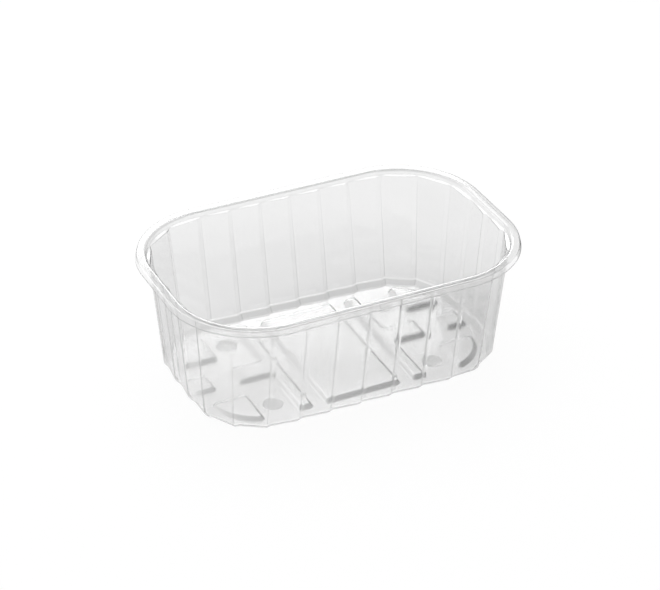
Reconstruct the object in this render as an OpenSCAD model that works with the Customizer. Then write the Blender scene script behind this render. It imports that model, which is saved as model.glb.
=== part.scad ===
// Berry punnet: an open tray formed from one thin sheet of clear plastic.
// The sheet runs from the floor up a pleated wall to a smooth collar, out over
// a flat sealing flange and down a short skirt. Every level of it is a rounded
// rectangle at its own inset from the rim, so all corners share four centres.

/* [Rim] */
// Length over the top of the rim
rim_length = 187; // [175:1:240]
// Width over the top of the rim
rim_width = 124; // [116:1:180]
// Corner radius of the rim, seen from above
rim_corner_r = 45; // [38:1:50]
// Height from the table to the top of the flange
rim_height = 66.6; // [40:0.1:120]
// Width of the flat sealing flange
flange_w = 4; // [3:0.5:8]
// Radius of the bends at both edges of the flange
bend_r = 0.8; // [0.8:0.1:1.5]
// Depth of the turned down skirt
skirt_h = 3.2; // [2:0.1:6]
// How far the foot of the skirt flares outward
skirt_flare = 0.7; // [0:0.1:1.5]

/* [Sheet] */
// Thickness of the formed sheet
sheet_t = 0.4; // [0.3:0.05:0.7]

/* [Wall] */
// Height of the smooth collar under the flange
collar_h = 3.4; // [3:0.1:12]
// How far the collar leans in from top to bottom
collar_draft = 0.4; // [0.2:0.1:1.5]
// Height of the sloping ledge between the collar and the pleats
ledge_h = 0.6; // [0.4:0.1:1.5]
// How far the middle of the pleats stands inside the collar
ledge_w = 0.9; // [0.6:0.1:2]
// How far the pleated wall leans in from top to foot
wall_draft = 5.8; // [3:0.1:12]
// Height of the sloping heel at the foot of the wall
heel_h = 3.1; // [1.5:0.1:8]
// How far the heel runs in from the foot of the wall
heel_w = 2.9; // [1.5:0.1:8]

/* [Pleats] */
// Number of pleats round the wall
pleat_count = 28; // [20:2:34]
// Depth of a pleat from ridge to valley
pleat_depth = 1.25; // [0.6:0.05:2]
// Width of the short step from a ridge to its valley
pleat_step = 2.4; // [1.8:0.1:4]
// How far the pleats lean along the wall from foot to top
pleat_lean = 1.8; // [0:0.1:4]
// Distance from the middle of the front to the nearest ridge on its left
pleat_start = 6.6; // [0:0.1:17]
// How far the chamfer on each ridge and valley reaches along the wall
pleat_chamfer = 0.4; // [0.2:0.05:0.8]

/* [Floor] */
// Height of the raised pads above the floor
pad_h = 2.2; // [1:0.1:4]
// How far the side of a pad leans in over its height
pad_draft = 1.2; // [0.6:0.1:2]
// Radius of the pads' corners, seen from above
pad_corner_r = 2; // [1:0.5:3]
// Width of the floor left flat before and behind the pads
floor_margin = 6.8; // [5:0.1:12]
// Width of the floor left flat outside the corner pads
corner_margin = 5.6; // [5:0.1:10]
// Width of the middle pad
middle_pad_w = 41.4; // [30:0.2:46]
// Width of the gutter between the middle pad and each rib
gutter_w = 7.2; // [5:0.1:9]
// Width of the rib across the floor
rib_w = 7.5; // [6:0.1:9]
// Width of the bay between a rib and the corner pads
bay_w = 18.8; // [16:0.1:20]
// Width of the tongues along the middle of the tray
tongue_w = 14; // [9:0.5:18]
// Length of the tongue that runs in from each rib
tongue_l = 17.5; // [8:0.5:18]
// Length of the tongue at each end of the floor
end_tongue_l = 11; // [8:0.1:12]
// Gap between that tongue and the foot of the heel
end_tongue_gap = 2.4; // [1.4:0.1:3]
// Clear distance between the two corner pads at one end
corner_gap = 35.6; // [24:0.2:40]

/* [Feet] */
// Height of the round feet under the floor
foot_h = 0.6; // [0.4:0.1:2]
// Diameter of a foot where it meets the table
foot_d = 9; // [5:0.1:12]
// How far the side of a foot leans out over its height
foot_draft = 0.7; // [0.3:0.1:1.5]
// Distance between the front and back feet
foot_spacing = 58; // [50:1:64]

/* [Hidden] */

// Colour of the clear sheet
clear = [0.86, 0.88, 0.89, 0.45];
// Points on the ramp from a valley to the next ridge, between its ends
ramp_points = 2;
// Segments in a bend of the flange
bend_segments = 2;
// Faces round a foot, round a pad's corners and round the floor's corners
foot_faces = 32;
pad_faces = 16;
floor_faces = 48;
// Thickness of the slices that a pad's hull spans
slice_t = 0.01;

// Levels of the underside of the sheet
floor_z = foot_h;
wall_foot_z = floor_z + heel_h;
wall_top_z = rim_height - collar_h;
collar_foot_z = wall_top_z + ledge_h;
// Well above the rim, where the cutting form ends
open_z = rim_height + skirt_h;

// Insets of the underside of the sheet from the rim
collar_top_in = flange_w + bend_r - sheet_t;
collar_foot_in = collar_top_in + collar_draft;
wall_top_in = collar_foot_in + ledge_w;
wall_foot_in = wall_top_in + wall_draft;
floor_in = wall_foot_in + heel_w;

// Corner centres, shared by every level
centre_x = rim_length / 2 - rim_corner_r;
centre_y = rim_width / 2 - rim_corner_r;

// The pleats are spaced evenly along the foot of the wall
pitch_r = rim_corner_r - wall_foot_in;
quarter_arc = pitch_r * PI / 2;
foot_line = 4 * (centre_x + centre_y + quarter_arc);
pitch = foot_line / pleat_count;

// The floor, and the places of what stands on it
floor_x = rim_length / 2 - floor_in;
floor_y = rim_width / 2 - floor_in;
floor_r = rim_corner_r - floor_in;
pad_y = floor_y - floor_margin;
rib_x = middle_pad_w / 2 + gutter_w;
bay_x = rib_x + rib_w;
corner_pad_x = bay_x + bay_w;
foot_x = bay_x + bay_w / 2;
end_tongue_x = floor_x - end_tongue_gap;

// Unit vector from point a toward point b
function toward(a, b) = (b - a) / norm(b - a);

// Point that is the share t of the way from a to b
function between(a, b, t) = a + (b - a) * t;

// Point at the distance s along the foot of the wall, taken to the inset given.
// s starts at the middle of the front and runs counter-clockwise from above.
function on_outline(s, inset) =
    let (
        d = (s % foot_line + foot_line) % foot_line,
        sides = [centre_x, 2 * centre_y, 2 * centre_x, 2 * centre_y, centre_x],
        starts = [
            for (i = 0, at = 0; i < len(sides); at = at + sides[i] + quarter_arc, i = i + 1) at
        ],
        side = max([for (i = [0 : len(sides) - 1]) if (d >= starts[i]) i]),
        along = d - starts[side],
        straight = min(along, sides[side]),
        angle = 90 * (side - 1 + (along - straight) / quarter_arc),
        corners = [
            [0, -centre_y], [centre_x, -centre_y], [centre_x, centre_y],
            [-centre_x, centre_y], [-centre_x, -centre_y]
        ],
        headings = [[1, 0], [0, 1], [-1, 0], [0, -1], [1, 0]]
    )
    corners[side] + headings[side] * straight
        + [cos(angle), sin(angle)] * (rim_corner_r - inset);

// Distances along the wall of one pleat's ridge and valley
function ridge_s(k, shift) = k * pitch - pleat_start + shift;
function valley_s(k, shift) = ridge_s(k, shift) + pleat_step;

// The two ends of the chamfer on the corner b between a and c
function chamfered(a, b, c) = [b + toward(b, a) * pleat_chamfer, b + toward(b, c) * pleat_chamfer];

// Points that share out the ramp between its two ends
function ramp(a, b) = [for (i = [1 : ramp_points]) between(a, b, i / (ramp_points + 1))];

// One level of the wall with its pleats, flat from each valley to the next ridge
function pleated_ring(inset, shift) =
    let (
        ridges = [
            for (k = [0 : pleat_count - 1])
                on_outline(ridge_s(k, shift), inset - pleat_depth / 2)
        ],
        valleys = [
            for (k = [0 : pleat_count - 1])
                on_outline(valley_s(k, shift), inset + pleat_depth / 2)
        ]
    )
    [
        for (k = [0 : pleat_count - 1])
            let (
                last = valleys[(k + pleat_count - 1) % pleat_count],
                next = ridges[(k + 1) % pleat_count],
                top = chamfered(last, ridges[k], valleys[k]),
                bottom = chamfered(ridges[k], valleys[k], next),
                after = chamfered(valleys[k], next, valleys[k])
            )
            each concat(top, bottom, ramp(bottom[1], after[0]))
    ];

// One smooth level, with its points where the pleats have theirs
function smooth_ring(inset, shift) =
    [
        for (k = [0 : pleat_count - 1])
            let (
                ridge = ridge_s(k, shift),
                valley = valley_s(k, shift),
                top = [ridge - pleat_chamfer, ridge + pleat_chamfer],
                bottom = [valley - pleat_chamfer, valley + pleat_chamfer],
                after = top[0] + pitch
            )
            for (s = concat(top, bottom, ramp(bottom[1], after)))
                on_outline(s, inset)
    ];

// A level of the sheet as points in space: p is its inset and height
function pleated(p, shift) = [for (q = pleated_ring(p.x, shift)) [q.x, q.y, p.y]];
function smooth(p) = [for (q = smooth_ring(p.x, pleat_lean)) [q.x, q.y, p.y]];

// Normal of the profile from a to b, pointing into the tray
function normal(a, b) = [b.y - a.y, a.x - b.x] / norm(b - a);

// The corner b of a profile, moved inward by the sheet's thickness
function thickened(a, b, c) =
    let (m = normal(a, b), n = normal(b, c))
    b + (m + n) * sheet_t / (1 + m * n);

// A bend about the centre c, as a profile between the two angles given
function bend(c, start, end) =
    [
        for (i = [0 : bend_segments])
            let (angle = start + (end - start) * i / bend_segments)
            c + bend_r * [cos(angle), sin(angle)]
    ];

// Profile of the underside of the sheet, from the floor to the flange
floor_p = [floor_in, floor_z];
wall_foot_p = [wall_foot_in, wall_foot_z];
wall_top_p = [wall_top_in, wall_top_z];
collar_foot_p = [collar_foot_in, collar_foot_z];
collar_top_p = [collar_top_in, rim_height - sheet_t];
level = [1, 0];

// A closed solid through rings of equal length, lowest first on the outside
module skin(rings) {
    n = len(rings[0]);
    last = len(rings) - 1;
    sides = [
        for (j = [0 : last - 1], i = [0 : n - 1])
            let (a = j * n + i, b = j * n + (i + 1) % n)
            [a, a + n, b + n, b]
    ];
    bottom = [for (i = [0 : n - 1]) i];
    top = [for (i = [n - 1 : -1 : 0]) last * n + i];
    polyhedron([for (ring = rings) each ring], concat([bottom, top], sides), convexity = 8);
}

// The outside of the tray and its rim, as one filled form
module outer_form() {
    edge = bend([bend_r, rim_height - bend_r], 180, 90);
    skin(concat(
        [
            pleated(floor_p, 0),
            pleated(wall_foot_p, 0),
            pleated(wall_top_p, pleat_lean),
            smooth(collar_foot_p),
            smooth(collar_top_p),
            smooth([sheet_t, rim_height - sheet_t]),
            smooth([sheet_t - skirt_flare, rim_height - skirt_h]),
            smooth([-skirt_flare, rim_height - skirt_h])
        ],
        [for (p = edge) smooth(p)]
    ));
}

// The space inside the tray, open at the top
module inner_form() {
    lip = bend([flange_w, rim_height - bend_r], 0, 90);
    skin(concat(
        [
            pleated(thickened(floor_p + level, floor_p, wall_foot_p), 0),
            pleated(thickened(floor_p, wall_foot_p, wall_top_p), 0),
            pleated(thickened(wall_foot_p, wall_top_p, collar_foot_p), pleat_lean),
            smooth(thickened(wall_top_p, collar_foot_p, collar_top_p))
        ],
        [for (p = lip) smooth(p)],
        [smooth([flange_w, open_z])]
    ));
}

// Outline of a pad, a rectangle given by two opposite corners
module pad_outline(low, high) {
    translate(low)
        offset(r = pad_corner_r)
            offset(delta = -pad_corner_r)
                square(high - low);
}

// Outline of a corner pad, which follows the corner of the floor
module corner_pad_outline() {
    $fn = pad_faces;
    offset(r = pad_corner_r)
        offset(delta = -pad_corner_r)
            intersection() {
                translate([centre_x, centre_y])
                    circle(r = floor_r - corner_margin, $fn = floor_faces);
                translate([corner_pad_x, corner_gap / 2])
                    square(floor_r);
            }
}

// A pad of the outline given, with leaning sides, grown by the thickness given
module pad(grow) {
    side = grow * norm([pad_draft, pad_h]) / pad_h;
    rise = pad_h + grow;
    lean = rise * pad_draft / pad_h;
    hull() {
        translate([0, 0, floor_z - slice_t])
            linear_extrude(slice_t)
                offset(delta = side)
                    children();
        translate([0, 0, floor_z + rise - slice_t])
            linear_extrude(slice_t)
                offset(delta = side - lean)
                    children();
    }
}

// Every pad on the floor, grown by the thickness given
module pads(grow) {
    $fn = pad_faces;
    pad(grow)
        pad_outline([-middle_pad_w / 2, -pad_y], [middle_pad_w / 2, pad_y]);
    for (end = [0, 1])
        mirror([end, 0, 0]) {
            pad(grow)
                pad_outline([rib_x, -pad_y], [bay_x, pad_y]);
            pad(grow)
                pad_outline([rib_x, -tongue_w / 2], [bay_x + tongue_l, tongue_w / 2]);
            pad(grow)
                pad_outline([end_tongue_x - end_tongue_l, -tongue_w / 2], [end_tongue_x, tongue_w / 2]);
            for (side = [0, 1])
                mirror([0, side, 0])
                    pad(grow)
                        corner_pad_outline();
        }
}

// The four round feet, shrunk by the thickness given
module feet(shrink) {
    flare = foot_draft / foot_h;
    low_r = foot_d / 2 + shrink * (flare - norm([flare, 1]));
    rise = foot_h + slice_t;
    for (x = [-foot_x, foot_x], y = [-foot_spacing / 2, foot_spacing / 2])
        translate([x, y, shrink])
            cylinder(h = rise, r1 = low_r, r2 = low_r + flare * rise, $fn = foot_faces);
}

module punnet() {
    color(clear)
        difference() {
            union() {
                outer_form();
                feet(0);
            }
            pads(0);
            difference() {
                union() {
                    inner_form();
                    feet(sheet_t);
                }
                pads(sheet_t);
            }
        }
}

punnet();
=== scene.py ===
# %% [markdown]
# # A berry punnet of clear formed sheet
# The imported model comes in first, as a frame that never moves. All that this
# lesson adds is set against it.

# %% The frame
import math

import bmesh
import bpy
import numpy as np
from mathutils import Matrix, Vector
from mathutils.geometry import delaunay_2d_cdt


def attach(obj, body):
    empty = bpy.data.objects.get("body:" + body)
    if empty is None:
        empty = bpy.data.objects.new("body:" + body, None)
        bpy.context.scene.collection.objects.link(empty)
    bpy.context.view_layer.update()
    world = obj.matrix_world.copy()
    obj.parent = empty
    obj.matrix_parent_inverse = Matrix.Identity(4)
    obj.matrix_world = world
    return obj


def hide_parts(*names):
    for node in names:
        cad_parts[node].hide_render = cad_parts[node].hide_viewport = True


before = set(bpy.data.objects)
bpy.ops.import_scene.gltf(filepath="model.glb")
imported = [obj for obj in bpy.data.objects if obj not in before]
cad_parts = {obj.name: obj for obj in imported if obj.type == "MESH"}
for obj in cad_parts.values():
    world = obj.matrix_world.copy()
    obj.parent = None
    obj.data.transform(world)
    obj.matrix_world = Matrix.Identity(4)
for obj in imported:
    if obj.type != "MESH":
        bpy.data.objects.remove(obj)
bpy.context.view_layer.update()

MM = 0.001

# %% [markdown]
# ## Sizes
# These are the maker's own sizes, in millimetres, the same as in the part's
# source. A level of the tray is a rounded rectangle at its own inset from the
# rim, and all levels share the four centres of their corners.

# %% Sizes of the tray
RIM_LENGTH, RIM_WIDTH, RIM_R, RIM_HEIGHT = 187.0, 124.0, 45.0, 66.6
FLANGE_W, BEND_R, SKIRT_H, SKIRT_FLARE = 4.0, 0.8, 3.2, 0.7
SHEET_T = 0.4
COLLAR_H, COLLAR_DRAFT, LEDGE_H, LEDGE_W = 3.4, 0.4, 0.5, 1.0
WALL_DRAFT, HEEL_H, HEEL_W = 5.8, 3.1, 2.9
PLEATS, PLEAT_DEPTH, PLEAT_STEP, PLEAT_LEAN, PLEAT_START = 28, 1.25, 2.4, 1.8, 6.6
PAD_H, PAD_DRAFT, PAD_R, FLOOR_MARGIN, CORNER_MARGIN = 2.2, 1.2, 2.0, 6.8, 5.6
MIDDLE_PAD_W, GUTTER_W, RIB_W, BAY_W = 41.4, 7.2, 7.5, 18.8
TONGUE_W, TONGUE_L, END_TONGUE_L, END_TONGUE_GAP = 14.0, 17.5, 11.0, 2.4
CORNER_GAP = 35.6
FOOT_H, FOOT_D, FOOT_DRAFT, FOOT_SPACING = 0.6, 9.0, 0.7, 58.0

CENTRE = np.array([RIM_LENGTH / 2 - RIM_R, RIM_WIDTH / 2 - RIM_R])
COLLAR_TOP_IN = FLANGE_W + BEND_R - SHEET_T
COLLAR_FOOT_IN = COLLAR_TOP_IN + COLLAR_DRAFT
WALL_TOP_IN = COLLAR_FOOT_IN + LEDGE_W
WALL_FOOT_IN = WALL_TOP_IN + WALL_DRAFT
FLOOR_IN = WALL_FOOT_IN + HEEL_W
FOOT_LINE_R = RIM_R - WALL_FOOT_IN
FOOT_LINE = 4 * (CENTRE.sum() + FOOT_LINE_R * math.pi / 2)
PITCH = FOOT_LINE / PLEATS
print(f"foot line {FOOT_LINE:.1f} mm, one pleat every {PITCH:.2f} mm")

# %% [markdown]
# ## The profile of the sheet
# Cut the tray from the floor to the skirt and the sheet shows as one bent
# line. Each point of it holds an inset, a height, how far the pleats are there
# (1) or not (0), and how far they have leant along the wall. The line runs in
# the middle of the sheet, and a forming mould has no sharp edge, so every
# corner is taken off with a short parabola.

# %% A bent line with soft corners
def softened(corners, reaches, steps):
    """The line through corners, each inner one a parabola that starts its reach away."""
    line = [corners[0]]
    for before, corner, after, reach in zip(corners, corners[1:], corners[2:], reaches):
        start = corner + (before - corner) * reach / np.linalg.norm((before - corner)[:2])
        end = corner + (after - corner) * reach / np.linalg.norm((after - corner)[:2])
        for t in np.linspace(0, 1, steps + 1):
            line.append((1 - t) ** 2 * start + 2 * t * (1 - t) * corner + t ** 2 * end)
    return np.array(line + [corners[-1]])


def middle(before, corner, after):
    """A corner of the underside, moved into the middle of the sheet."""
    def normal(a, b):
        return np.array([b[1] - a[1], a[0] - b[0]]) / math.dist(a, b)
    m, n = normal(before, corner), normal(corner, after)
    return corner + (m + n) * SHEET_T / 2 / (1 + m @ n)


# %% The profile
floor_z, mid = FOOT_H, SHEET_T / 2
under = [np.array(p) for p in (
    (FLOOR_IN + 2, floor_z), (FLOOR_IN, floor_z), (WALL_FOOT_IN, floor_z + HEEL_H),
    (WALL_TOP_IN, RIM_HEIGHT - COLLAR_H), (COLLAR_FOOT_IN, RIM_HEIGHT - COLLAR_H + LEDGE_H),
    (COLLAR_TOP_IN, RIM_HEIGHT - SHEET_T))]
levels = [middle(*under[i - 1:i + 2]) for i in range(1, 5)]
flange_z = RIM_HEIGHT - mid
rim = [(FLANGE_W + BEND_R - mid, flange_z), (mid, flange_z), (mid - SKIRT_FLARE, RIM_HEIGHT - SKIRT_H)]
places = [(FLOOR_IN + 1.4, floor_z + mid)] + [tuple(p) for p in levels] + rim
pleated = [1, 1, 1, 1, 0, 0, 0, 0]
leaning = [0, 0, 0, 1, 1, 1, 1, 1]
corners = np.column_stack([places, pleated, leaning])
profile = softened(corners, [0.7, 0.8, 0.25, 0.25, 1.4, 0.6], 6)[1:]

# %% [markdown]
# ## How dark each bend shows
# A clear sheet has no colour of its own. The dark and white lines at its
# bends come from light that is bent and mirrored there, and here they are
# painted into the sheet's colour: each row of the profile gets a value of
# painted light, above 0 painted shade, darker than the flat sheet, and below
# 0 painted highlight, clearer. The heel's upper bend and the skirt get the
# most painted highlight, and the last half millimetre of the skirt the most
# painted shade, for the dark line that the cut edge shows. The list goes up
# the profile, one entry for each bend: across is 1 in the middle of a bend,
# and rising goes from 0 to 1 along it.

# %% Painted shade and highlight along the profile
CUT_EDGE = 0.55
near_edge = profile[-1] + (profile[-2] - profile[-1]) * CUT_EDGE / SKIRT_H
profile = np.insert(profile, -1, near_edge, axis=0)
# painted shade (above 0) and painted highlight (below 0) for the lines of light at the bends
HEEL_PAINTED_SHADE, HEEL_PAINTED_HIGHLIGHT, LEDGE_PAINTED_SHADE = 0.14, 0.9, 0.1
INNER_BEND_PAINTED_SHADE, FLANGE_PAINTED_SHADE, OUTER_BEND_PAINTED_SHADE, SKIRT_PAINTED_HIGHLIGHT = 0.15, 0.1, 0.12, 0.9
across = np.sin(np.linspace(0, math.pi, 7))
rising = np.linspace(0, 1, 7)
row_painted_light = np.concatenate([
    HEEL_PAINTED_SHADE * rising,
    HEEL_PAINTED_SHADE * (1 - rising) - HEEL_PAINTED_HIGHLIGHT * across,
    0 * across,
    LEDGE_PAINTED_SHADE * across,
    INNER_BEND_PAINTED_SHADE * across + FLANGE_PAINTED_SHADE * rising,
    FLANGE_PAINTED_SHADE * (1 - rising) + OUTER_BEND_PAINTED_SHADE * across - SKIRT_PAINTED_HIGHLIGHT * rising,
    # the cut edge: painted highlight just above it, painted shade on it
    [-0.5, 1.0]])
print(len(profile), "points from the floor to the skirt's foot")

# %% [markdown]
# ## A blank for the pleated wall
# The wall starts as a blank: a closed band of faces, one row for each point of
# the profile, that only knows its numbers. A column's place counts pleats, so
# 3.0 is the ridge of the fourth pleat. Columns crowd where a ridge or a valley
# turns, and share out the flat ramp between. The ridges and valleys carry a
# faint painted shade as well, for the dark line that bent light shows there,
# which fades toward the rim, where the pleats are shallow to the eye.

# %% The blank band
TURN = 0.55 / PITCH
# painted shade at each ridge and valley, for the dark line that bent light shows there
RIDGE_PAINTED_SHADE = np.array([0, 0, 0.5, 1, 0.5, 0, 0]) * 0.3
VALLEY_PAINTED_SHADE = np.array([0, 0, 0, 1, 0, 0, 0]) * 0.1
STEP_SHARE = PLEAT_STEP / PITCH


def pleat_columns():
    """Shares of one pleat at which the band has a column."""
    turn = np.linspace(-TURN, TURN, 7)
    step = [STEP_SHARE / 2]
    ramp = np.linspace(STEP_SHARE + TURN, 1 - TURN, 12)[1:-1]
    return np.concatenate([turn, step, STEP_SHARE + turn, ramp])


def named(mesh, name, values):
    """Store one number for each vertex of the mesh under a name."""
    mesh.attributes.new(name, "FLOAT", "POINT").data.foreach_set("value", np.asarray(values, np.float32))


columns = np.concatenate([k + pleat_columns() for k in range(PLEATS)])
n_col, n_row = len(columns), len(profile)
row, col = np.divmod(np.arange(n_row * n_col), n_col)
quads = [(r * n_col + c, r * n_col + (c + 1) % n_col, (r + 1) * n_col + (c + 1) % n_col, (r + 1) * n_col + c)
         for r in range(n_row - 1) for c in range(n_col)]
blank_mesh = bpy.data.meshes.new("wall_blank")
blank_mesh.from_pydata(np.column_stack([columns[col], row, np.zeros(len(row))]).tolist(), [], quads)
named(blank_mesh, "place", columns[col])
named(blank_mesh, "inset", profile[row, 0] * MM)
named(blank_mesh, "height", profile[row, 1] * MM)
named(blank_mesh, "pleated", profile[row, 2])
named(blank_mesh, "leaning", profile[row, 3])
pleat_painted_shade = np.concatenate([RIDGE_PAINTED_SHADE, [0], VALLEY_PAINTED_SHADE, np.zeros(10)])
along_wall = np.clip(1.25 - 1.15 * profile[:, 1] / RIM_HEIGHT, 0, 1) * profile[:, 2]
named(blank_mesh, "painted_light", row_painted_light[row] + np.tile(pleat_painted_shade, PLEATS)[col] * along_wall[row])
blank = bpy.data.objects.new("wall_blank", blank_mesh)
bpy.context.scene.collection.objects.link(blank)
print("blank of", n_col, "columns and", n_row, "rows")

# %% [markdown]
# ## A first node group: a point on the outline
# Every level follows the same outline, so the first group answers one
# question: where is the point that lies this far along the foot of the wall,
# at this inset? It samples a curve, finds the nearest corner centre and walks
# out from it.

# %% Helpers that keep node trees short
def node(tree, kind, wires=(), **settings):
    """Add a node, set its options, and wire or fill its inputs by number or name."""
    new = tree.nodes.new(kind)
    for key, value in settings.items():
        setattr(new, key, value)
    for key, value in dict(wires).items():
        if isinstance(value, bpy.types.NodeSocket):
            tree.links.new(value, new.inputs[key])
        else:
            new.inputs[key].default_value = value
    return new


def calc(tree, operation, a, b=0.0):
    return node(tree, "ShaderNodeMath", {0: a, 1: b}, operation=operation).outputs[0]


def vector_calc(tree, operation, a, b=(0, 0, 0)):
    return node(tree, "ShaderNodeVectorMath", {0: a, 1: b}, operation=operation).outputs[0]


def scaled(tree, vector, factor):
    return node(tree, "ShaderNodeVectorMath", {0: vector, "Scale": factor}, operation="SCALE").outputs[0]


def blended(tree, factor, a, b):
    return node(tree, "ShaderNodeMix", {0: factor, 4: a, 5: b}, data_type="VECTOR").outputs[1]


def new_tree(name, inputs, outputs):
    """A geometry tree with named sockets, and its two ends."""
    tree = bpy.data.node_groups.new(name, "GeometryNodeTree")
    for label, kind in inputs:
        tree.interface.new_socket(name=label, in_out="INPUT", socket_type="NodeSocket" + kind)
    for label, kind in outputs:
        tree.interface.new_socket(name=label, in_out="OUTPUT", socket_type="NodeSocket" + kind)
    return tree, node(tree, "NodeGroupInput").outputs, node(tree, "NodeGroupOutput").inputs


# %% The point on the outline
outline_tree, given, result = new_tree(
    "point on the outline",
    [("Outline", "Geometry"), ("Length", "Float"), ("Corner centre", "Vector"), ("Rim radius", "Float"),
     ("Distance", "Float"), ("Inset", "Float")],
    [("Position", "Vector")])
turns = calc(outline_tree, "DIVIDE", given["Distance"], given["Length"])
sample = node(outline_tree, "GeometryNodeSampleCurve",
              {"Curves": given["Outline"], "Factor": calc(outline_tree, "FRACT", turns)}, mode="FACTOR")
low_corner = scaled(outline_tree, given["Corner centre"], -1.0)
nearest = vector_calc(outline_tree, "MAXIMUM", sample.outputs["Position"], low_corner)
nearest = vector_calc(outline_tree, "MINIMUM", nearest, given["Corner centre"])
outward = vector_calc(outline_tree, "SUBTRACT", sample.outputs["Position"], nearest)
outward = vector_calc(outline_tree, "NORMALIZE", outward)
reach_out = calc(outline_tree, "SUBTRACT", given["Rim radius"], given["Inset"])
outline_tree.links.new(
    vector_calc(outline_tree, "ADD", nearest, scaled(outline_tree, outward, reach_out)), result["Position"])
print(outline_tree.name, "has", len(outline_tree.nodes), "nodes")

# %% [markdown]
# ## A second group: a point on a pleat
# A pleat is a saw tooth: a short step from its ridge down to its valley, and a
# long flat ramp up to the next ridge. The ramp is a straight chord between two
# outline points, which gives the flat facets that the corners of such trays
# have.

# %% The point on a pleat
pleat_tree, given, result = new_tree(
    "point on a pleat",
    [("Outline", "Geometry"), ("Length", "Float"), ("Corner centre", "Vector"), ("Rim radius", "Float"),
     ("Place", "Float"), ("Shift", "Float"), ("Inset", "Float"), ("Pitch", "Float"), ("Step", "Float"),
     ("Depth", "Float")],
    [("Position", "Vector")])


def use_group(tree, group, wires):
    """A node that stands for a whole group, wired by the group's own labels."""
    return node(tree, "GeometryNodeGroup", wires, node_tree=group).outputs[0]


def shared(given):
    """The sockets that every point needs."""
    return {label: given[label] for label in ("Outline", "Length", "Corner centre", "Rim radius")}


number = calc(pleat_tree, "FLOOR", given["Place"])
share = calc(pleat_tree, "SUBTRACT", given["Place"], number)
ridge = calc(pleat_tree, "ADD", calc(pleat_tree, "MULTIPLY", number, given["Pitch"]), given["Shift"])
half_depth = calc(pleat_tree, "MULTIPLY", given["Depth"], 0.5)
proud = calc(pleat_tree, "SUBTRACT", given["Inset"], half_depth)
sunk = calc(pleat_tree, "ADD", given["Inset"], half_depth)


def tooth_point(distance, inset):
    wires = shared(given)
    wires.update({"Distance": distance, "Inset": inset})
    return use_group(pleat_tree, outline_tree, wires)


ridge_point = tooth_point(ridge, proud)
valley_point = tooth_point(calc(pleat_tree, "ADD", ridge, given["Step"]), sunk)
next_point = tooth_point(calc(pleat_tree, "ADD", ridge, given["Pitch"]), proud)
step_share = calc(pleat_tree, "DIVIDE", given["Step"], given["Pitch"])
down = blended(pleat_tree, calc(pleat_tree, "DIVIDE", share, step_share), ridge_point, valley_point)
ramp_share = calc(pleat_tree, "DIVIDE", calc(pleat_tree, "SUBTRACT", share, step_share),
                  calc(pleat_tree, "SUBTRACT", 1.0, step_share))
pleat_tree.links.new(blended(pleat_tree, ramp_share, down, next_point), result["Position"])
print(pleat_tree.name, "has", len(pleat_tree.nodes), "nodes")

# %% [markdown]
# ## The tree that forms the wall
# The tree draws the foot line as a curve, asks for five neighbouring places on
# the pleat and averages them, which rounds each ridge and valley as a mould
# does, and blends toward the smooth outline where the profile has no pleats.

# %% The wall's tree
wall_tree, given, result = new_tree(
    "pleated wall",
    [("Blank", "Geometry"), ("Corner centre", "Vector"), ("Rim radius", "Float"), ("Foot radius", "Float"),
     ("Pleats", "Int"), ("Depth", "Float"), ("Step", "Float"), ("Lean", "Float"), ("Start", "Float"),
     ("Turn", "Float"), ("Sheet", "Material")],
    [("Wall", "Geometry")])
FOOT_LINE_START = (CENTRE[0] + 2 * CENTRE[1] + FOOT_LINE_R * math.pi / 2) * MM
centre_xyz = node(wall_tree, "ShaderNodeSeparateXYZ", {0: given["Corner centre"]}).outputs


def side_length(axis):
    whole = calc(wall_tree, "ADD", centre_xyz[axis], given["Foot radius"])
    return calc(wall_tree, "MULTIPLY", whole, 2.0)


frame_curve = node(wall_tree, "GeometryNodeCurvePrimitiveQuadrilateral",
                   {"Width": side_length(0), "Height": side_length(1)}, mode="RECTANGLE")
outline = node(wall_tree, "GeometryNodeFilletCurve",
               {"Curve": frame_curve.outputs[0], "Count": 96, "Radius": given["Foot radius"]}, mode="POLY")
length = node(wall_tree, "GeometryNodeCurveLength", {"Curve": outline.outputs[0]}).outputs[0]
pitch = calc(wall_tree, "DIVIDE", length, given["Pleats"])


def stored(name):
    return node(wall_tree, "GeometryNodeInputNamedAttribute", {"Name": name}, data_type="FLOAT").outputs[0]


place, inset = stored("place"), stored("inset")
lean = calc(wall_tree, "MULTIPLY", stored("leaning"), given["Lean"])
shift = calc(wall_tree, "SUBTRACT", lean, given["Start"])
shift = calc(wall_tree, "SUBTRACT", shift, FOOT_LINE_START)
base = {"Outline": outline.outputs[0], "Length": length, "Corner centre": given["Corner centre"],
        "Rim radius": given["Rim radius"], "Inset": inset}
total = None
for neighbour in (-1.0, -0.5, 0.0, 0.5, 1.0):
    offset = calc(wall_tree, "MULTIPLY", given["Turn"], neighbour)
    wires = dict(base, Place=calc(wall_tree, "ADD", place, offset), Shift=shift, Pitch=pitch,
                 Step=given["Step"], Depth=given["Depth"])
    point = use_group(wall_tree, pleat_tree, wires)
    total = point if total is None else vector_calc(wall_tree, "ADD", total, point)
pleat_point = scaled(wall_tree, total, 0.2)
distance = calc(wall_tree, "ADD", calc(wall_tree, "MULTIPLY", place, pitch), shift)
smooth_point = use_group(wall_tree, outline_tree, dict(base, Distance=distance))
flat_point = blended(wall_tree, stored("pleated"), smooth_point, pleat_point)
lift = node(wall_tree, "ShaderNodeCombineXYZ", {"Z": stored("height")}).outputs[0]
formed = node(wall_tree, "GeometryNodeSetPosition",
              {"Geometry": given["Blank"], "Position": vector_calc(wall_tree, "ADD", flat_point, lift)})
realized = node(wall_tree, "GeometryNodeRealizeInstances", {0: formed.outputs[0]})
finished = node(wall_tree, "GeometryNodeSetMaterial", {0: realized.outputs[0], "Material": given["Sheet"]})
wall_tree.links.new(finished.outputs[0], result["Wall"])
print(wall_tree.name, "has", len(wall_tree.nodes), "nodes")
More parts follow.
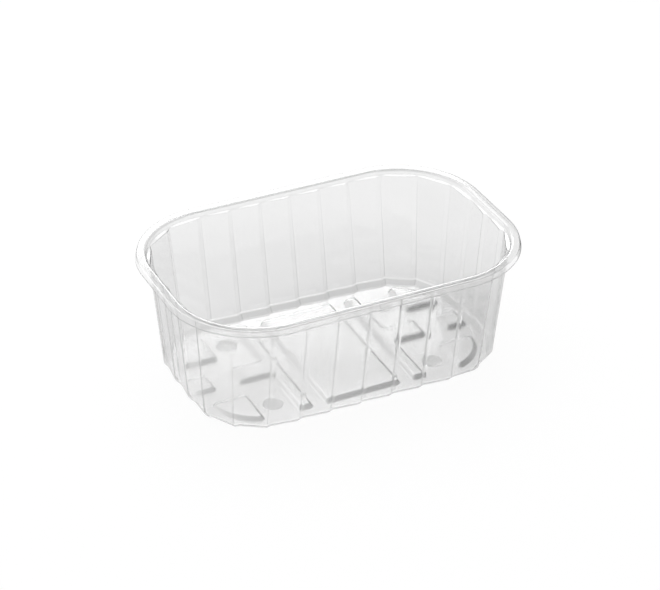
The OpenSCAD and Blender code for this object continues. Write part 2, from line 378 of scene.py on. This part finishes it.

# %% [markdown]
# ## The clear sheet's finish
# Trays for fruit are clear polyester with a high gloss. Light bends in it as
# in glass, a little more than in acrylic, and what shows of it is gloss, the
# bent light at each fold and a faint haze. The painted light that the mesh
# carries goes through a ramp from white, which is painted highlight, through
# the flat sheet's own light grey to dark grey, which is painted shade.

# %% The clear sheet
sheet_material = bpy.data.materials.new("clear_sheet")
sheet_material.use_nodes = True
sheet = sheet_material.node_tree.nodes["Principled BSDF"]
finish_tree = sheet_material.node_tree
FLAT_GREY, PAINTED_SHADE_GREY = (0.87, 0.87, 0.87, 1), (0.22, 0.22, 0.22, 1)
painted_light = node(finish_tree, "ShaderNodeAttribute", attribute_name="painted_light").outputs["Fac"]
along_ramp = node(finish_tree, "ShaderNodeMapRange", {0: painted_light, 1: -1.0, 2: 1.0, 3: 0.0, 4: 1.0}).outputs[0]
# the painted light: white is painted highlight, dark grey painted shade, and 0 the sheet's own grey
ramp = node(finish_tree, "ShaderNodeValToRGB", {0: along_ramp})
ramp.color_ramp.elements[0].color = (1, 1, 1, 1)
ramp.color_ramp.elements[1].color = PAINTED_SHADE_GREY
ramp.color_ramp.elements.new(0.5).color = FLAT_GREY
finish_tree.links.new(ramp.outputs[0], sheet.inputs["Base Color"])
sheet.inputs["Roughness"].default_value = 0.08
sheet.inputs["IOR"].default_value = 1.57
sheet.inputs["Transmission Weight"].default_value = 1.0

# %% [markdown]
# ## The wall takes its form
# The tree is set on the blank with the maker's sizes, read once as a plain
# mesh, and taken off again, so that what is left is only vertices and faces.

# %% The wall takes its form
former = blank.modifiers.new("pleated wall", "NODES")
former.node_group = wall_tree
wanted = {
    "Corner centre": (CENTRE[0] * MM, CENTRE[1] * MM, 0.0), "Rim radius": RIM_R * MM,
    "Foot radius": FOOT_LINE_R * MM, "Pleats": PLEATS, "Depth": PLEAT_DEPTH * MM, "Step": PLEAT_STEP * MM,
    "Lean": PLEAT_LEAN * MM, "Start": PLEAT_START * MM, "Turn": TURN, "Sheet": sheet_material}
for item in wall_tree.interface.items_tree:
    if item.in_out == "INPUT" and item.name in wanted:
        former[item.identifier] = wanted[item.name]
bpy.context.view_layer.update()
formed_wall = blank.evaluated_get(bpy.context.evaluated_depsgraph_get())
wall_mesh = bpy.data.meshes.new_from_object(formed_wall)
blank.modifiers.remove(former)
bpy.data.objects.remove(blank)
wall_points = np.array([v.co for v in wall_mesh.vertices]) / MM
print("wall", np.round(wall_points.min(0), 2), np.round(wall_points.max(0), 2))

# %% [markdown]
# ## Outlines of what the floor carries
# The floor is stiffened by raised pads. Each pad is an outline with soft
# corners that climbs in by the same profile. Points carry their own outward
# direction, so an outline can be drawn again at any inset.

# %% Outlines with soft corners
def arc(centre, radius, start, end, side=1):
    """Points and outward directions of an arc, in degrees. side is -1 in a hollow corner."""
    count = max(3, int(abs(end - start) / 9) + 1)
    angles = np.radians(np.linspace(start, end, count))
    away = np.column_stack([np.cos(angles), np.sin(angles)])
    return np.hstack([np.asarray(centre) + away * radius, away * side])


def soft_polygon(corners, radius):
    """A polygon, counter-clockwise, with every corner an arc."""
    corners = [np.array(c, float) for c in corners]
    pieces = []
    for before, corner, after in zip(corners[-1:] + corners[:-1], corners, corners[1:] + corners[:1]):
        u, w = (before - corner) / math.dist(before, corner), (after - corner) / math.dist(after, corner)
        half = math.acos(np.clip(u @ w, -1, 1)) / 2
        centre = corner + (u + w) / np.linalg.norm(u + w) * radius / math.sin(half)
        first = corner + u * radius / math.tan(half) - centre
        last = corner + w * radius / math.tan(half) - centre
        start = math.degrees(math.atan2(first[1], first[0]))
        sweep = (math.degrees(math.atan2(last[1], last[0])) - start + 180) % 360 - 180
        pieces.append(arc(centre, radius, start, start + sweep, 1 if sweep > 0 else -1))
    return np.vstack(pieces)


def corner_pad(radius):
    """The pad in the right back corner, which follows the corner of the floor."""
    low = np.array([MIDDLE_PAD_W / 2 + GUTTER_W + RIB_W + BAY_W, CORNER_GAP / 2])
    outer = RIM_R - FLOOR_IN - CORNER_MARGIN
    inner = outer - radius
    reach = low + radius - CENTRE
    right = np.array([math.sqrt(inner ** 2 - reach[1] ** 2), reach[1]])
    back = np.array([reach[0], math.sqrt(inner ** 2 - reach[0] ** 2)])
    turn_right = math.degrees(math.atan2(right[1], right[0]))
    turn_back = math.degrees(math.atan2(back[1], back[0]))
    return np.vstack([
        arc(low + radius, radius, 180, 270),
        arc(CENTRE + right, radius, -90, turn_right)[:-1],
        arc(CENTRE, outer, turn_right, turn_back),
        arc(CENTRE + back, radius, turn_back, 180)[1:]])


def mirrored(outline, x_side, y_side):
    """The outline on another side of the tray, still counter-clockwise."""
    turned = outline * [x_side, y_side, x_side, y_side]
    return turned if x_side * y_side > 0 else turned[::-1]


# %% The outlines
RIB_X = MIDDLE_PAD_W / 2 + GUTTER_W
BAY_X = RIB_X + RIB_W
PAD_Y = RIM_WIDTH / 2 - FLOOR_IN - FLOOR_MARGIN
TONGUE_X = BAY_X + TONGUE_L
END_X = RIM_LENGTH / 2 - FLOOR_IN - END_TONGUE_GAP
half_w, half_t = MIDDLE_PAD_W / 2, TONGUE_W / 2
middle_pad = soft_polygon([(-half_w, -PAD_Y), (half_w, -PAD_Y), (half_w, PAD_Y), (-half_w, PAD_Y)], PAD_R)
rib = soft_polygon([(RIB_X, -PAD_Y), (BAY_X, -PAD_Y), (BAY_X, -half_t), (TONGUE_X, -half_t),
                    (TONGUE_X, half_t), (BAY_X, half_t), (BAY_X, PAD_Y), (RIB_X, PAD_Y)], PAD_R)
end_tongue = soft_polygon([(END_X - END_TONGUE_L, -half_t), (END_X, -half_t), (END_X, half_t),
                           (END_X - END_TONGUE_L, half_t)], PAD_R)
raised = [middle_pad]
for x_side in (-1, 1):
    raised += [mirrored(rib, x_side, 1), mirrored(end_tongue, x_side, 1)]
    raised += [mirrored(corner_pad(PAD_R), x_side, y_side) for y_side in (-1, 1)]
FOOT_X = BAY_X + BAY_W / 2
foot_rings = [arc((x, y), FOOT_D / 2 + FOOT_DRAFT, 0, 360)[:-1]
              for x in (-FOOT_X, FOOT_X) for y in (-FOOT_SPACING / 2, FOOT_SPACING / 2)]
print(len(raised), "raised pads and", len(foot_rings), "feet")

# %% [markdown]
# ## The floor
# The floor is one flat net of triangles between the wall's lowest ring and the
# rings of the pads and feet. A constrained triangulation fits such a net to
# any set of closed lines, and the heights come after, ring by ring. The steep
# sides of the pads show as dark bars where they face the front or the right,
# and stay nearly unseen where they face the light, so each point of a side
# gets painted shade or painted highlight from the way that it faces, the
# painted shade a little darker toward the right end, away from the lamp on
# the left. The bottoms of the feet get a painted shade too, for the sheen
# that they don't catch.

# %% The floor's net
pad_profile = softened(np.array([(-2, 0), (0, 0), (PAD_DRAFT, PAD_H), (PAD_DRAFT + 2, PAD_H)], float),
                       [0.6, 0.7], 5)[1:-1]
foot_profile = softened(np.array([(-2, 0), (0, 0), (FOOT_DRAFT, -FOOT_H), (FOOT_DRAFT + 2, -FOOT_H)], float),
                        [0.4, 0.4], 4)[1:-1]
# painted shade and painted highlight on the pads' sides, and painted shade on the feet's bottoms
SIDE_PAINTED_SHADE, SIDE_PAINTED_HIGHLIGHT, FOOT_PAINTED_SHADE = 0.6, 0.4, 0.3


def facing_painted_light(outline):
    """Painted shade for each point of a pad's side by the way it faces, and painted highlight below 0 where
    it faces the light.
    """
    dark = np.clip(np.maximum(-outline[:, 3], 0.8 * outline[:, 2]), 0, 1)
    light = np.clip(np.maximum(outline[:, 3], -outline[:, 2]), 0, 1)
    # the painted shade grows darker toward the right end, away from the lamp on the left
    from_left = np.clip(1 + 0.005 * outline[:, 0], 0.6, 1.4)
    return SIDE_PAINTED_SHADE * dark * from_left - SIDE_PAINTED_HIGHLIGHT * light * (dark < 0.05)


rings = [(wall_points[:n_col, :2], 0.0, np.zeros(n_col))]
for place, (inset, z) in enumerate(pad_profile):
    painted_share = 1.0 if 0 < place < len(pad_profile) - 1 else 0.0
    rings += [(o[:, :2] - o[:, 2:] * inset, z, painted_share * facing_painted_light(o)) for o in raised]
for place, (inset, z) in enumerate(foot_profile):
    painted_share = FOOT_PAINTED_SHADE if place > 1 else 0.0
    rings += [(o[:, :2] - o[:, 2:] * inset, z, np.full(len(o), painted_share)) for o in foot_rings]
flat = np.vstack([ring for ring, z, painted in rings])
heights = np.concatenate([np.full(len(ring), z) for ring, z, painted in rings])
ring_painted_light = np.concatenate([painted for ring, z, painted in rings])
edges, start = [], 0
for ring, z, painted in rings:
    n = len(ring)
    edges += [(start + i, start + (i + 1) % n) for i in range(n)]
    start += n
net = delaunay_2d_cdt([Vector(p) for p in flat], edges, [], 1, 1e-4)
net_points = [(p.x, p.y, floor_z + mid + heights[ids[0]]) for p, ids in zip(net[0], net[3])]
floor_mesh = bpy.data.meshes.new("floor_net")
floor_mesh.from_pydata((np.array(net_points) * MM).tolist(), [], net[2])
named(floor_mesh, "painted_light", [ring_painted_light[ids[0]] for ids in net[3]])
print("floor of", len(net[2]), "triangles")

# %% [markdown]
# ## One sheet
# Wall and floor share a ring of points. Merged there, they are one sheet with
# no seam, and Solidify gives it its gauge to both sides of the middle line.

# %% The sheet
body = bmesh.new()
body.from_mesh(wall_mesh)
body.from_mesh(floor_mesh)
bmesh.ops.remove_doubles(body, verts=body.verts, dist=0.002 * MM)
bmesh.ops.recalc_face_normals(body, faces=body.faces)
for face in body.faces:
    face.smooth = True
sheet_mesh = bpy.data.meshes.new("punnet_sheet")
body.to_mesh(sheet_mesh)
body.free()
for unused in (wall_mesh, floor_mesh):
    bpy.data.meshes.remove(unused)
sheet_mesh.materials.clear()
sheet_mesh.materials.append(sheet_material)
punnet = bpy.data.objects.new("punnet_sheet", sheet_mesh)
bpy.context.scene.collection.objects.link(punnet)
gauge = punnet.modifiers.new("gauge", "SOLIDIFY")
gauge.thickness = SHEET_T * MM
gauge.offset = 0
gauge.use_even_offset = True
gauge.use_quality_normals = True
flats = punnet.modifiers.new("flats", "WEIGHTED_NORMAL")
flats.weight = 50
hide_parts("punnet")
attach(punnet, "root")
print("sheet of", len(sheet_mesh.polygons), "faces")

# %% [markdown]
# ## The stage
# The tray stands on white paper, which a lamp outside the picture keeps white.
# So the paper glows by itself where it is looked at, and takes the tray's soft
# shadow as any matt floor does. Seen through the sheet it also carries a
# painted shadow: its glow is a little darker under the tray and behind its back
# corner, as if less light got in there.

# %% The stage
bpy.ops.mesh.primitive_plane_add(size=8, location=(0, 0, 0))
stage = bpy.context.object
stage.name = "stage_floor"
stage_material = bpy.data.materials.new("stage_white")
stage_material.use_nodes = True
tree = stage_material.node_tree
tree.nodes.clear()
matt = node(tree, "ShaderNodeBsdfDiffuse", {"Color": (0.8, 0.8, 0.8, 1)})
glow = node(tree, "ShaderNodeEmission", {"Color": (1, 1, 1, 1)})
path = node(tree, "ShaderNodeLightPath").outputs
spot = node(tree, "ShaderNodeTexCoord").outputs["Object"]
to_corner = node(tree, "ShaderNodeVectorMath", {0: spot, 1: (0.8, 1, 0)},
                 operation="DOT_PRODUCT").outputs["Value"]
from_tray = node(tree, "ShaderNodeVectorMath", {0: spot}, operation="LENGTH").outputs["Value"]
# a painted shadow on the paper, darker toward the back right near the tray, seen only through the sheet
painted_shadow_slope = node(tree, "ShaderNodeMapRange", {0: to_corner, 1: -0.05, 2: 0.07, 3: 0.0, 4: 0.26}).outputs[0]
near = node(tree, "ShaderNodeMapRange", {0: from_tray, 1: 0.08, 2: 0.15, 3: 1.0, 4: 0.0}).outputs[0]
painted_shadow = calc(tree, "MULTIPLY", painted_shadow_slope, near)
through = calc(tree, "MULTIPLY", calc(tree, "MULTIPLY", painted_shadow, path["Is Transmission Ray"]), 0.75)
tree.links.new(calc(tree, "SUBTRACT", 1.0, through), glow.inputs["Strength"])
looked_at = calc(tree, "MAXIMUM", path["Is Camera Ray"], path["Is Glossy Ray"])
white = calc(tree, "MULTIPLY", looked_at, 0.96)
dimmed = calc(tree, "MULTIPLY", path["Is Transmission Ray"], calc(tree, "ADD", painted_shadow, 0.05))
share = calc(tree, "SUBTRACT", white, dimmed)
mixed = node(tree, "ShaderNodeMixShader", {0: share, 1: matt.outputs[0], 2: glow.outputs[0]})
node(tree, "ShaderNodeOutputMaterial", {"Surface": mixed.outputs[0]})
stage.data.materials.append(stage_material)

# %% [markdown]
# ## The room and its lamps
# A clear sheet is drawn by what it mirrors, so each lamp stands for one thing
# that shows in it. The one at the back gives the white sheen on the floor, the
# top one fills every level face, the left one whitens the left bends, and the
# low one in front catches the ledge under the collar as a row of short dashes.

# %% The room
world = bpy.data.worlds.new("soft_room")
bpy.context.scene.world = world
world.use_nodes = True
room = world.node_tree
toward = node(room, "ShaderNodeTexCoord").outputs["Generated"]
lit_side = node(room, "ShaderNodeVectorMath", {0: toward, 1: (-0.3, 0.7, 0.65)},
                operation="DOT_PRODUCT").outputs["Value"]
level = node(room, "ShaderNodeMapRange", {0: lit_side, 1: -0.1, 2: 0.9, 3: 0.02, 4: 1.25}).outputs[0]
room.links.new(level, room.nodes["Background"].inputs["Strength"])
room.nodes["Background"].inputs["Color"].default_value = (1, 1, 1, 1)


# %% The lamps
def softbox(name, place, aim, size, radiance):
    """A square lamp that faces its aim."""
    light = bpy.data.lights.new(name, "AREA")
    light.shape, light.size, light.size_y = "RECTANGLE", size[0], size[1]
    light.energy = radiance * math.pi * size[0] * size[1]
    lamp = bpy.data.objects.new(name, light)
    bpy.context.scene.collection.objects.link(lamp)
    lamp.location = place
    lamp.rotation_euler = (Vector(aim) - Vector(place)).to_track_quat("-Z", "Y").to_euler()
    return lamp


softbox("back_softbox", (0.304, 0.892, 0.487), (0, 0, 0), (0.46, 0.246), 3.7)
top = softbox("top_softbox", (0.05, 0.75, 1.3), (0.05, 0.75, 0), (1.7, 1.76), 2.3)
top.visible_transmission = False
softbox("left_softbox", (-0.774, 0.9156, 0.2), (0, 0, 0), (0.5, 0.5), 1.6)
softbox("front_fill", (0.45, -1.07, 0.14), (0, 0, 0.03), (0.6, 0.2), 3.0)

# %% [markdown]
# ## Black cards
# A rim of clear sheet on white paper would be lost at its edges. Product
# photographers stand black cards just outside the picture, and the round edge
# of the rim mirrors them as a thin dark line at the right end.

# %% The black cards
def black_card(name, place, turn, size):
    """A card of black felt that only shows where the sheet mirrors it."""
    bpy.ops.mesh.primitive_plane_add(size=1, location=place, rotation=turn)
    card = bpy.context.object
    card.name, card.scale = name, (size[0], size[1], 1)
    for sight in ("camera", "diffuse", "transmission", "shadow"):
        setattr(card, "visible_" + sight, False)
    card.data.materials.append(black)


black = bpy.data.materials.new("black_felt")
black.use_nodes = True
felt = black.node_tree.nodes["Principled BSDF"]
felt.inputs["Base Color"].default_value = (0.01, 0.01, 0.01, 1)
felt.inputs["Roughness"].default_value = 1.0
upright = (math.pi / 2, 0, math.radians(-51))
black_card("standing_card", (0.76, 0.62, 0.16), upright, (0.5, 0.32))
black_card("lying_card", (0.38, 0.3, 0.001), (0, 0, 0), (0.5, 0.6))

# %% [markdown]
# ## The camera
# A long lens from the left, a third of the way up: the same place that the
# photo was taken from, found by fitting the rim, the skirt and the heel.

# %% The camera
AZIMUTH, ELEVATION, ROLL = math.radians(-25.76), math.radians(32.11), math.radians(0.16)
back = Vector((math.sin(AZIMUTH) * math.cos(ELEVATION), -math.cos(AZIMUTH) * math.cos(ELEVATION),
               math.sin(ELEVATION)))
right = Vector((math.cos(AZIMUTH), math.sin(AZIMUTH), 0))
up = back.cross(right)
right, up = (right * math.cos(ROLL) + up * math.sin(ROLL)), (up * math.cos(ROLL) - right * math.sin(ROLL))
camera_data = bpy.data.cameras.new("camera")
camera_data.lens, camera_data.sensor_width = 135.02, 36.0
camera = bpy.data.objects.new("camera", camera_data)
bpy.context.scene.collection.objects.link(camera)
stand = (right * 0.64 + up * 30.14 + back * 1274.94 + Vector((0, 0, FOOT_H))) * MM
turn = Matrix((right, up, back)).transposed().to_4x4()
camera.matrix_world = Matrix.Translation(stand) @ turn
bpy.context.scene.camera = camera
bpy.context.scene.view_settings.view_transform = "Standard"
print("camera at", [round(c, 3) for c in camera.location])
